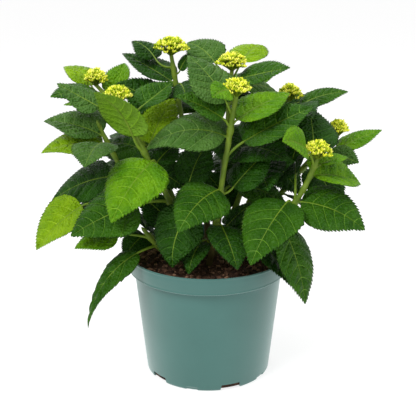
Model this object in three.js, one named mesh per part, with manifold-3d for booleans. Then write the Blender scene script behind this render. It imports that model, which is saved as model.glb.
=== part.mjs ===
// A potted hydrangea shrub: fourteen green shoots in a plain round grow pot, with opposite pairs of broad
// leaves, and flat heads of flower buds on most of the shoots.
//
// Millimetres, +Z up. The origin is the centre of the pot's flat underside, and -Y is the side the shrub faces.
// Angles are in degrees: a turn is measured from +X towards +Y, and a rise is measured up from the level.

import * as THREE from "three";
import { mergeVertices } from "three/addons/utils/BufferGeometryUtils.js";
import Module from "manifold-3d";

const wasm = await Module();
wasm.setup();

// ---- Driving dimensions: pot and soil ------------------------------------------------------------------------

const POT_HEIGHT = 178;
const RIM_RADIUS = 115; // outside, at the lip
const RIM_DEPTH = 24.5; // height of the band round the mouth
const RIM_TAPER = 3; // the band is this much narrower at its lower edge
const BODY_FOOT_RADIUS = 88.8;
const BODY_FLARE = 0.107; // radius gained per millimetre of height
const WALL = 2;
const FLOOR = 2.5;
const FOOT_CHAMFER = 2.4;
const LIP_ROUND = 0.8;
const POT_SIDES = 36;
const NOTCHES = 5; // drain notches round the foot
const NOTCH_WIDTH = [31, 27]; // at the ground and at the top
const NOTCH_HEIGHT = 9;
const NOTCH_BITE = 12; // how far each one reaches in from the foot's edge
const FIRST_NOTCH = -51;

const SOIL_SIDES = 24;
const SOIL_CLEAR = 1; // between the soil and the pot
const SOIL_TOP = 166.6; // the level part, where the shoots stand
const SOIL_LEVEL_RADIUS = 68;
const SOIL_EDGE_DROP = 2.6;

// ---- Driving dimensions: shoots and leaves -------------------------------------------------------------------

const GROUND = 167.2; // where the shoots are cut flat, just above the soil
const GAP = 0.3; // between a stem's tip and the foliage that goes on from it
const STEM_RADIUS = [4.6, 2.6]; // at the foot and at the tip
const STEM_SIDES = 6;
const STEM_RINGS = 7; // along a whole shoot
const BELOW_LEAVES = 11; // a shoot's foliage starts this far below its lowest leaves
const FIRST_FOLIAGE = 0.06; // and never lower than this share of the shoot
const PETIOLE_RADIUS = [2.4, 1.6];
const PETIOLE_SIDES = 3;
const PETIOLE_RINGS = 2;
const PETIOLE_ROOT = 0.1; // how far a petiole runs on along the blade, as a share of the midrib
const BLADE_THICKNESS = 1.4;
const BLADE_ROWS = 5;
const BLADE_ROW_CROWDING = 1.25; // above 1 the rows lie closer together towards the base
const HEAD_RISE = 12; // from the shoot's tip to the middle of its head
const HEAD_FLATNESS = 0.36; // the head's height as a share of its width
const HEAD_BUMPS = 0.24; // how unevenly the buds stand out of it, as a share of its radius
const TIP_BUD = { radius: 4.4, length: 13 };

// The foot and the tip of each shoot, the knee that draws its curve, and the width of its head of buds.
const SHOOTS = {
  left: { foot: [-15, -25], knee: [-52, -52, 275], tip: [-118, -48, 398], head: 40 },
  front: { foot: [2, -28], knee: [14, -72, 270], tip: [36, -60, 410], head: 40 },
  "front-right": { foot: [28, -22], knee: [116, -82, 244], tip: [142, -70, 330], head: 40 },
  low: { foot: [-40, -32], knee: [-62, -44, 188], tip: [-84, -54, 222], head: 0 },
  "low-left": { foot: [-44, 14], knee: [-90, 4, 190], tip: [-140, -12, 236], head: 0 },
  flank: { foot: [-36, 0], knee: [-100, 10, 240], tip: [-150, 18, 352], head: 0 },
  top: { foot: [-6, 12], knee: [-30, 30, 320], tip: [-51, 40, 450], head: 50 },
  crown: { foot: [10, 8], knee: [24, 25, 310], tip: [33, 30, 430], head: 45 },
  "back-left": { foot: [-22, 16], knee: [-60, 50, 300], tip: [-160, 70, 402], head: 34 },
  "back-right": { foot: [24, 20], knee: [50, 60, 290], tip: [117, 72, 380], head: 34 },
  right: { foot: [38, 4], knee: [118, 60, 270], tip: [190, 85, 325], head: 32 },
  "rear-right": { foot: [30, 38], knee: [80, 110, 250], tip: [116, 150, 322], head: 36 },
  rear: { foot: [0, 36], knee: [-6, 100, 290], tip: [8, 135, 372], head: 40 },
  "rear-left": { foot: [-30, 36], knee: [-76, 100, 260], tip: [-104, 150, 334], head: 36 },
};

// How a leaf is made where its row says nothing else. stalk and lift are the petiole's length and its angle above
// the level, width is a share of the blade's length, arch is how far the midrib bends down and sweep how far it
// bends sideways, roll and twist turn the blade about its midrib, and fold, cup and wave shape it across.
const LEAF = {
  stalk: 30,
  lift: 40,
  width: 0.85,
  arch: 30,
  sweep: 0,
  roll: 0,
  twist: 0,
  fold: 0.1,
  cup: -0.12,
  wave: 0.05,
};

// The leaves of the near side: shoot, place along it from 0 to 1, turn, rise and length of the blade. They are in
// the order that they are grown in, and a later one gives way to an earlier one.
const NEAR_LEAVES = [
  ["left", 0.6, 230, -40, 100, { stalk: 20, lift: 70, width: 0.9, roll: -10, fold: 0.3, cup: -0.35 }],
  ["front", 0.77, 175, -10, 110, { stalk: 10, lift: 70, arch: 70, roll: -20 }],
  ["front", 0.48, 230, -25, 90, { stalk: 10, lift: 75, arch: 50, roll: -20, fold: 0 }],
  ["front-right", 0.6, 230, -40, 100, { stalk: 15, roll: -5, fold: 0.2 }],
  ["front-right", 0.57, 345, -20, 90, { stalk: 20, width: 0.9, arch: 40, roll: 30 }],
  ["front", 0.7, 10, 25, 100, { arch: 10, roll: 20, fold: 0.3 }],
  ["front", 0.33, 210, -70, 80, { stalk: 45, lift: 25, arch: 50, roll: -45 }],
  ["front", 0.21, 290, -35, 70, { stalk: 40, roll: -10, fold: 0.2 }],
  ["front-right", 0.36, 310, -65, 100, { lift: 20, width: 0.75, roll: -10 }],
  ["left", 0.72, 215, 50, 85, { lift: 55, arch: 45, roll: 20 }],
  ["left", 0.74, 65, 35, 85, { stalk: 20, lift: 15, width: 0.65, roll: 10, fold: 0.2 }],
  ["low-left", 0.95, 200, -40, 85, { stalk: 45, lift: 25, width: 0.9, roll: -20, fold: 0.3 }],
  ["left", 0.43, 200, -20, 95, { stalk: 45, lift: 0, width: 0.95, arch: 20, roll: -25 }],
  ["low", 0.86, 190, -15, 60, { stalk: 45, lift: 10, roll: -20 }],
  ["low", 0.67, 210, -50, 125, { lift: -10, width: 0.36, arch: 65, roll: -20, twist: 40, fold: 0 }],
  ["back-left", 0.94, 135, 20, 65, { lift: 15, arch: 55, fold: 0.2 }],
  ["back-left", 0.86, 85, 40, 60, { stalk: 15, lift: 65, width: 0.8, arch: 15, roll: -10, fold: 0.6 }],
  ["back-left", 0.79, 200, 10, 80, { stalk: 40, arch: 45, roll: -20 }],
  ["left", 0.93, 180, 30, 60, { stalk: 35, lift: 20, arch: 0, roll: -25 }],
  ["left", 0.89, 45, 25, 60, { arch: 0, roll: 15, fold: 0.4 }],
  ["left", 0.39, 45, 55, 70, { stalk: 40, roll: 15, fold: 0.2 }],
  ["top", 0.93, 140, 25, 50, { stalk: 35, lift: 15, width: 0.8, arch: 50, roll: -15, fold: 0 }],
  ["top", 0.84, 145, 20, 90, { stalk: 10, lift: 25, width: 0.65, arch: 10, roll: -10, fold: 0.3 }],
  ["top", 0.89, 355, 60, 28, { stalk: 10, roll: 40 }],
  ["crown", 0.94, 130, 20, 65, { stalk: 40, lift: 30, arch: 40, roll: -25, fold: 0.2 }],
  ["front", 0.9, 140, 40, 85, { stalk: 20, lift: 60, width: 0.95, roll: -5 }],
  ["top", 0.65, 175, 30, 70, { stalk: 35, lift: 30, roll: -45, fold: 0.2 }],
  ["top", 0.61, 140, 15, 48, { stalk: 45, roll: -35 }],
  ["top", 0.76, 280, -10, 60, { lift: 60, width: 0.8, roll: 25, fold: 0 }],
  ["crown", 0.92, 60, 15, 65, { stalk: 40, width: 0.9, arch: 45, roll: 5 }],
  ["crown", 0.91, 335, 15, 75, { stalk: 15, width: 0.8, arch: 5, roll: 25, fold: 0.2 }],
  ["crown", 0.81, 30, -15, 70, { stalk: 35, roll: 35, fold: 0 }],
  ["front", 0.84, 30, 15, 85, { stalk: 15, lift: 50, arch: 20, roll: 10, fold: 0.2 }],
  ["front", 0.83, 175, 25, 65, { stalk: 20, lift: 60, arch: 20, roll: -25, fold: 0.4 }],
  ["front", 0.98, 240, -5, 40, { stalk: 25, roll: -40 }],
  ["front", 0.49, 25, 40, 75, { stalk: 20, lift: 20, arch: 15, roll: 15, fold: 0 }],
  ["front", 0.1, 240, -45, 50, { stalk: 35, width: 0.9, arch: 55, roll: 10, fold: 0.2 }],
  ["front", 0.19, 40, 25, 60, { lift: 30, width: 0.9, arch: 20, roll: -10 }],
  ["back-right", 0.88, 5, 15, 70, { stalk: 35, lift: 25, width: 0.65, roll: 20 }],
  ["right", 0.83, 10, 20, 70, { stalk: 25, lift: 5, width: 0.65, arch: 10, roll: 15 }],
  ["right", 0.71, 320, 0, 55, { lift: 25, roll: 35 }],
  ["front-right", 0.97, 90, 30, 85, { stalk: 25, lift: 25, roll: 5, fold: 0 }],
  ["front-right", 0.93, 230, 20, 55, { stalk: 35, lift: 55, roll: -55, fold: 0.3 }],
  ["front-right", 0.86, 30, 10, 46, { stalk: 20, roll: 5, fold: 0.3 }],
  ["front-right", 0.76, 25, -15, 85, { stalk: 20, lift: 50, width: 0.95, roll: 25, fold: 0.4 }],
  ["front-right", 0.64, 85, 0, 65, { stalk: 45, roll: -50, fold: 0.3 }],
  ["back-right", 0.67, 305, 15, 42, { stalk: 35, lift: 30, width: 0.8, arch: 45, roll: 45 }],
  ["flank", 0.92, 165, 10, 85, { stalk: 10, width: 0.95, roll: -15, fold: 0.3 }],
  ["flank", 0.82, 185, -5, 85, { stalk: 20, width: 0.9, arch: 45, roll: -15, fold: 0.2 }],
  ["flank", 0.87, 260, -10, 75, { stalk: 45, lift: 20, arch: 40 }],
  ["flank", 0.69, 355, -25, 80, { stalk: 20, lift: 55, roll: 50 }],
  ["flank", 0.6, 175, -25, 95, { stalk: 35, lift: 20, roll: -30 }],
  ["back-right", 0.48, 345, -45, 70, { stalk: 35, roll: 35 }],
  ["left", 0.63, 55, 20, 50, { stalk: 10, roll: 15 }],
  ["crown", 0.6, 270, -30, 70, { lift: 55, roll: 10 }],
  ["left", 0.24, 170, 40, 60, { stalk: 20, lift: 25, roll: -45 }],
  ["low-left", 0.31, 235, -20, 50, { stalk: 35, roll: -15 }],
  ["low", 0.93, 105, 5, 65, { stalk: 15, lift: 15, arch: 50, roll: 50 }],
  ["back-right", 0.24, 140, 45, 65, { stalk: 10, lift: 10, roll: -35 }],
  ["right", 0.66, 295, -35, 75, { lift: 10, roll: 5 }],
  ["right", 0.48, 65, 40, 45, { stalk: 40, lift: 55, roll: -5 }],
  ["back-right", 0.78, 40, 5, 60, { stalk: 40, roll: 35 }],
];

// The pairs that fill the rest of the crown, which the rule in pairLeaf() makes: shoot, places, first turn.
const PAIRS = [
  ["rear", [0.3, 0.46, 0.62, 0.78, 0.93], 40],
  ["rear-left", [0.34, 0.52, 0.7, 0.9], 100],
  ["rear-right", [0.34, 0.52, 0.7], 80],
  ["back-left", [0.22, 0.34, 0.48, 0.6, 0.7], 120],
  ["back-right", [0.22, 0.34, 0.48, 0.6, 0.78], 100],
  ["top", [0.24, 0.34, 0.46, 0.56, 0.7], 110],
  ["crown", [0.2, 0.3, 0.4, 0.5, 0.6, 0.7, 0.78], 70],
  ["right", [0.22, 0.34, 0.48, 0.6], 60],
  ["flank", [0.22, 0.34, 0.48], 110],
  ["low-left", [0.4, 0.6, 0.8], 100],
  ["left", [0.22, 0.34, 0.5], 50],
  ["front", [0.1, 0.26, 0.36], 100],
  ["front-right", [0.14, 0.44, 0.5], 130],
  ["low", [0.3, 0.6], 60],
];

// Turns and rises that a leaf tries in this order when its own place is taken.
const GIVE_WAY = [
  [0, 0], [0, 4], [0, -4], [6, 0], [-6, 0], [6, 4], [-6, 4], [6, -4], [-6, -4],
  [0, 8], [0, -8], [12, 0], [-12, 0], [12, 8], [-12, 8], [12, -8], [-12, -8],
  [24, 0], [-24, 0], [0, 16], [0, -16], [24, 12], [-24, 12], [24, -14], [-24, -14],
  [38, 0], [-38, 0], [38, 14], [-38, 14],
];

// Room that a blade keeps, between points that are spread over it about this far apart.
const ROOM = {
  blade: 7,
  petiole: 5,
  stem: 7.5,
  ownStem: 34, // a blade may come close to its own shoot within this distance of its node
  head: 3,
  headRise: 10,
  headFlatness: 1.8,
  soilRadius: 96,
  rimRadius: 122,
  overPot: 6,
};
const PROBE_ROWS = 12;
const PROBE_COLUMNS = 8;
const STEM_PROBES = 28;

// ---- Materials -----------------------------------------------------------------------------------------------

const finish = (color, roughness) => new THREE.MeshStandardMaterial({ color, roughness, metalness: 0 });
const potFinish = finish(0x5b8a87, 0.45);
const soilFinish = finish(0x3a2820, 1);
const stemFinish = finish(0x7f9a3c, 0.6);
const leafFinish = finish(0x4c7a2c, 0.5);

// ---- Small helpers -------------------------------------------------------------------------------------------

const UP = new THREE.Vector3(0, 0, 1);
const radians = THREE.MathUtils.degToRad;
const lerp = THREE.MathUtils.lerp;
const level = (turn) => new THREE.Vector3(Math.cos(turn), Math.sin(turn), 0);

// A repeatable number from 0 to 1 for each key.
function chance(key) {
  const value = Math.sin(key * 12.9898 + 4.1414) * 43758.5453;
  return value - Math.floor(value);
}

// A closed three.js geometry as a solid: only positions are kept, shared vertices merged, empty faces dropped.
function solid(geometry) {
  const bare = geometry.clone();
  bare.deleteAttribute("normal");
  bare.deleteAttribute("uv");
  const merged = mergeVertices(bare, 1e-4);
  const index = merged.index.array;
  const faces = [];
  for (let i = 0; i < index.length; i += 3) {
    const [a, b, c] = [index[i], index[i + 1], index[i + 2]];
    if (a !== b && b !== c && c !== a) {
      faces.push(a, b, c);
    }
  }
  const mesh = new wasm.Mesh({
    numProp: 3,
    vertProperties: new Float32Array(merged.attributes.position.array),
    triVerts: new Uint32Array(faces),
  });
  return new wasm.Manifold(mesh);
}

// The solid as a named mesh of the scene.
function named(name, body, material) {
  const { numProp, vertProperties, triVerts } = body.getMesh();
  const position = new Float32Array((vertProperties.length / numProp) * 3);
  for (let i = 0; i < position.length / 3; i += 1) {
    position.set(vertProperties.subarray(i * numProp, i * numProp + 3), i * 3);
  }
  const geometry = new THREE.BufferGeometry();
  geometry.setAttribute("position", new THREE.BufferAttribute(position, 3));
  geometry.setIndex(new THREE.BufferAttribute(new Uint32Array(triVerts), 1));
  geometry.computeVertexNormals();
  const mesh = new THREE.Mesh(geometry, material);
  mesh.name = name;
  return mesh;
}

// Moves every vertex of a geometry to where place(x, y, z) says.
function shaped(geometry, place) {
  const position = geometry.attributes.position;
  for (let i = 0; i < position.count; i += 1) {
    const moved = place(position.getX(i), position.getY(i), position.getZ(i));
    position.setXYZ(i, moved.x, moved.y, moved.z);
  }
  return geometry;
}

// A tapering round limb: at(t) gives its centre and direction from 0 to 1, and radius(t) its radius.
function limb(at, radius, sides, rings) {
  const chord = at(1).centre.sub(at(0).centre).normalize();
  const steady = Math.hypot(chord.x, chord.y) < 0.1 ? new THREE.Vector3(1, 0, 0) : chord.cross(UP).normalize();
  const blank = new THREE.CylinderGeometry(1, 1, 1, sides, rings);
  return solid(
    shaped(blank, (x, y, z) => {
      const t = y + 0.5;
      const { centre, along } = at(t);
      const right = steady.clone().addScaledVector(along, -steady.dot(along)).normalize();
      const forward = right.clone().cross(along);
      return centre.clone().addScaledVector(right, x * radius(t)).addScaledVector(forward, z * radius(t));
    }),
  );
}

// ---- Pot and soil --------------------------------------------------------------------------------------------

const bodyRadius = (z) => BODY_FOOT_RADIUS + BODY_FLARE * z;

function buildPot() {
  const band = POT_HEIGHT - RIM_DEPTH;
  const bandRadius = RIM_RADIUS - RIM_TAPER;
  const profile = [
    [0, 0],
    [BODY_FOOT_RADIUS - FOOT_CHAMFER, 0],
    [bodyRadius(FOOT_CHAMFER), FOOT_CHAMFER],
    [bodyRadius(band), band],
    [bandRadius, band],
    [RIM_RADIUS, POT_HEIGHT - LIP_ROUND],
    [RIM_RADIUS - LIP_ROUND, POT_HEIGHT],
    [RIM_RADIUS - WALL, POT_HEIGHT],
    [bandRadius - WALL, band + WALL],
    [bodyRadius(band) - WALL, band],
    [bodyRadius(FLOOR) - WALL, FLOOR],
    [0, FLOOR],
  ];
  const outline = profile.map(([r, z]) => new THREE.Vector2(r, z));
  const turned = new THREE.LatheGeometry(outline, POT_SIDES).rotateX(Math.PI / 2);
  let pot = solid(turned);
  for (let k = 0; k < NOTCHES; k += 1) {
    const turn = radians(FIRST_NOTCH - 90 + (k * 360) / NOTCHES);
    pot = pot.subtract(solid(notch().rotateZ(turn)));
  }
  return pot;
}

// A drain notch on the +X side: a trapezoid, wider at the ground, that runs in through the foot's edge.
function notch() {
  const [ground, top] = NOTCH_WIDTH.map((width) => width / 2);
  const face = new THREE.Shape([
    new THREE.Vector2(-ground, -1),
    new THREE.Vector2(ground, -1),
    new THREE.Vector2(top, NOTCH_HEIGHT),
    new THREE.Vector2(-top, NOTCH_HEIGHT),
  ]);
  const cut = new THREE.ExtrudeGeometry(face, { depth: 2 * NOTCH_BITE, bevelEnabled: false });
  const inner = BODY_FOOT_RADIUS - NOTCH_BITE;
  return cut.rotateX(Math.PI / 2).rotateZ(Math.PI / 2).translate(inner, 0, 0);
}

function buildSoil() {
  const inner = (z) => bodyRadius(z) - WALL - SOIL_CLEAR;
  const band = POT_HEIGHT - RIM_DEPTH;
  const edge = SOIL_TOP - SOIL_EDGE_DROP;
  const rimInner = (z) => lerp(RIM_RADIUS - RIM_TAPER, RIM_RADIUS, (z - band) / RIM_DEPTH) - WALL - SOIL_CLEAR;
  const profile = [
    [0, FLOOR + SOIL_CLEAR],
    [inner(FLOOR), FLOOR + SOIL_CLEAR],
    [inner(band), band],
    [rimInner(band + WALL) - SOIL_CLEAR, band + WALL + SOIL_CLEAR],
    [rimInner(edge), edge],
    [SOIL_LEVEL_RADIUS, SOIL_TOP],
    [0, SOIL_TOP],
  ];
  const outline = profile.map(([r, z]) => new THREE.Vector2(r, z));
  return solid(new THREE.LatheGeometry(outline, SOIL_SIDES).rotateX(Math.PI / 2));
}

// ---- Shoots --------------------------------------------------------------------------------------------------

const shootCurves = Object.fromEntries(
  Object.entries(SHOOTS).map(([name, { foot, knee, tip }]) => {
    const points = [[...foot, GROUND], knee, tip].map((p) => new THREE.Vector3(...p));
    return [name, new THREE.QuadraticBezierCurve3(...points)];
  }),
);

// A stretch of a shoot. At the ground it is cut level, whatever the shoot's lean.
function shootPiece(name, from, to) {
  const curve = shootCurves[name];
  const at = (t) => {
    const place = lerp(from, to, t);
    const along = curve.getTangent(place);
    return { centre: curve.getPoint(place), along: place === 0 ? UP.clone() : along };
  };
  const radius = (t) => lerp(...STEM_RADIUS, lerp(from, to, t));
  return limb(at, radius, STEM_SIDES, Math.max(3, Math.round(STEM_RINGS * (to - from))));
}

// The end of a shoot: a flat and bumpy head of buds on a cone of short stalks, or a tip bud where it has no head.
function shootEnd(name) {
  const width = SHOOTS[name].head;
  const tip = shootCurves[name].getPoint(1);
  if (width === 0) {
    const bud = new THREE.ConeGeometry(TIP_BUD.radius, TIP_BUD.length, STEM_SIDES).rotateX(Math.PI / 2);
    const along = new THREE.Quaternion().setFromUnitVectors(UP, shootCurves[name].getTangent(1));
    return [solid(bud.translate(0, 0, TIP_BUD.length / 4).applyQuaternion(along).translate(...tip))];
  }
  const stalks = new THREE.ConeGeometry(width / 3, HEAD_RISE + 4, STEM_SIDES).rotateX(-Math.PI / 2);
  const buds = shaped(new THREE.IcosahedronGeometry(1, 1), (x, y, z) => {
    const reach = (width / 2) * (1 - HEAD_BUMPS * chance(width + Math.round(1000 * (x + 2 * y + 3 * z))));
    return new THREE.Vector3(x, y, z * HEAD_FLATNESS).multiplyScalar(reach);
  });
  return [
    solid(stalks.translate(tip.x, tip.y, tip.z + HEAD_RISE / 2 - 1)),
    solid(buds.translate(tip.x, tip.y, tip.z + HEAD_RISE)),
  ];
}

// ---- Leaves --------------------------------------------------------------------------------------------------

const MIDRIB_STEPS = 24;
const BASE_ROUND = 0.42; // the blade's half width grows with this power of the distance from its base
const TIP_TAPER = 0.9; // and shrinks with this power of the distance to its tip
const TIP_DRAWN = 0.035; // how far the tip is drawn out beyond that, as a share of the length
const WIDEST = BASE_ROUND / (BASE_ROUND + TIP_TAPER);
const outlineOf = (s) => s ** BASE_ROUND * (1 - s) ** TIP_TAPER;

// Half the blade's width at s, from 0 at the base to 1 at the tip, as a share of its greatest.
const halfWidth = (s) => (s <= 0 || s >= 1 ? 0 : outlineOf(s) / outlineOf(WIDEST));

// Everything that a leaf's shape needs: where its petiole starts and the frame at each step of its midrib.
function leafFrame([shoot, place, turn, rise, length, own]) {
  const form = { ...LEAF, ...own };
  const node = shootCurves[shoot].getPoint(place);
  const sweep = radians(form.sweep);
  const heading = (s) => radians(turn) + sweep * (s - 0.5);
  const pitch = (s) => radians(rise + form.arch * (0.5 - s));
  const along = (s) => level(heading(s)).multiplyScalar(Math.cos(pitch(s))).addScaledVector(UP, Math.sin(pitch(s)));
  const lift = radians(form.lift);
  const outwards = level(heading(0)).multiplyScalar(Math.cos(lift)).addScaledVector(UP, Math.sin(lift));
  const base = node.clone().addScaledVector(outwards, form.stalk);
  const stations = [base];
  for (let i = 1; i <= MIDRIB_STEPS; i += 1) {
    const step = along((i - 0.5) / MIDRIB_STEPS).multiplyScalar(length / MIDRIB_STEPS);
    stations.push(stations[i - 1].clone().add(step));
  }
  return { shoot, node, base, stations, along, heading, form, length };
}

// The point of the midrib at s.
function midrib({ stations }, s) {
  const step = Math.min(Math.floor(s * MIDRIB_STEPS), MIDRIB_STEPS - 1);
  return stations[step].clone().lerp(stations[step + 1], s * MIDRIB_STEPS - step);
}

// The point of the blade at s along the midrib and w across it, from -1 at the left margin to 1 at the right one,
// and at a height above the blade's middle surface.
function bladePoint(frame, s, w, height = 0) {
  const { form, length } = frame;
  const along = frame.along(s);
  const left = new THREE.Vector3(-Math.sin(frame.heading(s)), Math.cos(frame.heading(s)), 0);
  const normal = along.clone().cross(left);
  const roll = radians(form.roll + form.twist * s);
  const side = left.clone().multiplyScalar(-Math.cos(roll)).addScaledVector(normal, -Math.sin(roll));
  const face = normal.clone().multiplyScalar(Math.cos(roll)).addScaledVector(left, -Math.sin(roll));
  const half = (length * form.width * halfWidth(s)) / 2;
  const wave = form.wave * Math.sin(6 * s + (w > 0 ? 1 : 3)) * w * w;
  const raised = form.fold * Math.abs(w) + form.cup * w * w + wave;
  const across = 1 / Math.hypot(1, form.fold + form.cup);
  return midrib(frame, s)
    .addScaledVector(side, half * w * across)
    .addScaledVector(face, half * raised + height);
}

// A thin closed blade, bent from a flat slab: x across, y along and z through it.
function blade(frame) {
  const slab = new THREE.BoxGeometry(2, 1, 1, 2, BLADE_ROWS, 1);
  return solid(
    shaped(slab, (x, y, z) => {
      const s = (y + 0.5) ** BLADE_ROW_CROWDING;
      const drawn = y === 0.5 ? TIP_DRAWN * frame.length : 0;
      return bladePoint(frame, s, x, z * BLADE_THICKNESS).addScaledVector(frame.along(s), drawn);
    }),
  );
}

function petioleCurve(frame) {
  const bend = frame.base.clone().addScaledVector(frame.along(0), -frame.form.stalk / 2);
  return new THREE.QuadraticBezierCurve3(frame.node, bend, frame.base);
}

// A petiole from the middle of its shoot to the blade's base, and on under the midrib.
function petiole(frame) {
  const curve = petioleCurve(frame);
  const root = midrib(frame, PETIOLE_ROOT);
  const at = (t) => {
    const place = (t * (PETIOLE_RINGS + 1)) / PETIOLE_RINGS;
    const onBlade = place > 1;
    const centre = onBlade ? root.clone() : curve.getPoint(Math.min(place, 1));
    return { centre, along: onBlade ? frame.along(PETIOLE_ROOT) : curve.getTangent(Math.min(place, 1)) };
  };
  return limb(at, (t) => lerp(...PETIOLE_RADIUS, t), PETIOLE_SIDES, PETIOLE_RINGS + 1);
}

// ---- Growing -------------------------------------------------------------------------------------------------

const spaced = (count, from, to, pointAt) =>
  Array.from({ length: count }, (_, i) => pointAt(lerp(from, to, i / (count - 1))));

const stemProbes = Object.fromEntries(
  Object.entries(shootCurves).map(([name, curve]) => [name, spaced(STEM_PROBES, 0, 1, (t) => curve.getPoint(t))]),
);

const headProbes = Object.entries(SHOOTS)
  .filter(([, { head }]) => head > 0)
  .map(([name, { head }]) => {
    const centre = shootCurves[name].getPoint(1);
    centre.z += ROOM.headRise;
    return { centre, radius: head / 2 + ROOM.head };
  });

const near = (p, q, distance) => p.distanceToSquared(q) < distance * distance;
const touches = (points, others, distance) => points.some((p) => others.some((q) => near(p, q, distance)));

// Points spread over a leaf's blade and along its petiole.
function probesOf(frame) {
  const points = [];
  for (let row = 1; row < PROBE_ROWS; row += 1) {
    for (let column = 0; column <= PROBE_COLUMNS; column += 1) {
      points.push(bladePoint(frame, row / PROBE_ROWS, (2 * column) / PROBE_COLUMNS - 1));
    }
  }
  const curve = petioleCurve(frame);
  const stalk = spaced(4, 0.4, 1, (t) => curve.getPoint(t));
  return { shoot: frame.shoot, middle: midrib(frame, 0.5), reach: frame.length, points, stalk };
}

// Whether a point lies in the pot or its soil, or too close above them.
function meetsPot({ x, y, z }) {
  const r = Math.hypot(x, y);
  return r < ROOM.rimRadius && z < (r < ROOM.soilRadius ? GROUND : POT_HEIGHT) + ROOM.overPot;
}

function isFree(frame, probes, grown) {
  const { points, stalk, shoot } = probes;
  if (points.some(meetsPot)) {
    return false;
  }
  const far = points.filter((p) => !near(p, frame.node, ROOM.ownStem));
  for (const [name, stem] of Object.entries(stemProbes)) {
    const own = name === shoot;
    if (touches(own ? far : points, stem, ROOM.stem) || (!own && touches(stalk, stem, ROOM.stem))) {
      return false;
    }
  }
  const flattened = (p, { centre }) => Math.hypot(p.x - centre.x, p.y - centre.y, (p.z - centre.z) * ROOM.headFlatness);
  if (points.some((p) => headProbes.some((head) => flattened(p, head) < head.radius))) {
    return false;
  }
  return grown.every((other) => {
    if (!near(probes.middle, other.middle, probes.reach + other.reach)) {
      return true;
    }
    const stalksMeet = touches(stalk, other.points, ROOM.petiole) || touches(points, other.stalk, ROOM.petiole);
    return !touches(points, other.points, ROOM.blade) && (shoot === other.shoot || !stalksMeet);
  });
}

// A leaf of a pair that the rule makes: it turns a quarter from the pair below it, droops more and is larger
// lower down, and each leaf strays a little from that.
function pairLeaf(shoot, place, firstTurn, pair, side, key) {
  const depth = 1 - place;
  const turn = firstTurn + 90 * pair + 180 * side + (chance(key) - 0.5) * 30;
  const rise = 12 - 45 * depth + (chance(key + 0.3) - 0.5) * 20;
  const growth = Math.sin(Math.PI * Math.min(1, depth + 0.25)) * (0.85 + 0.3 * chance(key + 0.6));
  const arch = 30 + 20 * chance(key + 0.8);
  const roll = (chance(key + 0.9) - 0.5) * 40;
  return [shoot, place, turn, rise, 78 + 26 * growth, { arch, roll }];
}

function allLeaves() {
  const rows = [...NEAR_LEAVES];
  let key = 0;
  for (const [shoot, places, firstTurn] of PAIRS) {
    places.forEach((place, pair) => {
      for (const side of [0, 1]) {
        key += 1;
        rows.push(pairLeaf(shoot, place, firstTurn, pair, side, key));
      }
    });
  }
  return rows;
}

// Grows the leaves in their order. One whose place is taken gives way a little, and is left out if it can't.
function growLeaves() {
  const grown = [];
  for (const [shoot, place, turn, rise, length, own] of allLeaves()) {
    for (const [aside, up] of GIVE_WAY) {
      const frame = leafFrame([shoot, place, turn + aside, rise + up, length, own]);
      const probes = probesOf(frame);
      if (isFree(frame, probes, grown)) {
        grown.push({ ...probes, frame, place });
        break;
      }
    }
  }
  return grown;
}

// The largest connected piece of a union: a loose scrap is dropped.
function fused(parts) {
  const pieces = wasm.Manifold.union(parts).decompose();
  return pieces.reduce((largest, piece) => (piece.volume() > largest.volume() ? piece : largest));
}

function buildShoot(name, leaves) {
  const curve = shootCurves[name];
  const lowest = Math.min(...leaves.map(({ place }) => place));
  const start = Math.max(lowest - BELOW_LEAVES / curve.getLength(), FIRST_FOLIAGE);
  const end = start - GAP / curve.getLength();
  const parts = [shootPiece(name, start, 1), ...shootEnd(name)];
  for (const { frame } of leaves) {
    parts.push(petiole(frame), blade(frame));
  }
  return [
    named(`stem-${name}`, shootPiece(name, 0, end), stemFinish),
    named(`foliage-${name}`, fused(parts), leafFinish),
  ];
}

// ---- The scene -----------------------------------------------------------------------------------------------

const shrub = new THREE.Group();
shrub.add(named("pot", buildPot(), potFinish));
shrub.add(named("soil", buildSoil(), soilFinish));

const leaves = growLeaves();
for (const name of Object.keys(SHOOTS)) {
  shrub.add(...buildShoot(name, leaves.filter(({ shoot }) => shoot === name)));
}

export default shrub;
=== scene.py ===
"""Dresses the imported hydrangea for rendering: pot, peat, ribbed shoots, veined leaves and heads of buds.

The shoots and leaves grow by the same rule as the part's solids, in millimetres and in the same frame: +Z
is up and -Y is the side that the shrub faces. Angles are in degrees: a turn goes from +X towards +Y, and a
rise goes up from the level. Points become metres where a mesh is made.
"""

import math

import bmesh
import bpy
import numpy as np
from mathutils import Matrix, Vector, noise


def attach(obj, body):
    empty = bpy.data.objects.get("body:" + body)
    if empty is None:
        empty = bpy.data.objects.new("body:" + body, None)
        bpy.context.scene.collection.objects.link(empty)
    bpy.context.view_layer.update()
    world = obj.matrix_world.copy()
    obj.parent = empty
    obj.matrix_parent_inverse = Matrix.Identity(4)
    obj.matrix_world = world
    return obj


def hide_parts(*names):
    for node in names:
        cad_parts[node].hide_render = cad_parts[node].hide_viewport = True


MM = 0.001
UP = np.array([0.0, 0.0, 1.0])

# ---- The shrub's rule, as in the part's source -----------------------------------------------------------

POT_HEIGHT = 178.0
GROUND = 167.2  # where the shoots leave the peat
STEM_RADIUS = (4.6, 2.6)  # at a shoot's foot and at its tip
PETIOLE_RADIUS = (2.3, 1.5)
HEAD_RISE = 12.0  # from a shoot's tip to the middle of its head

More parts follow.
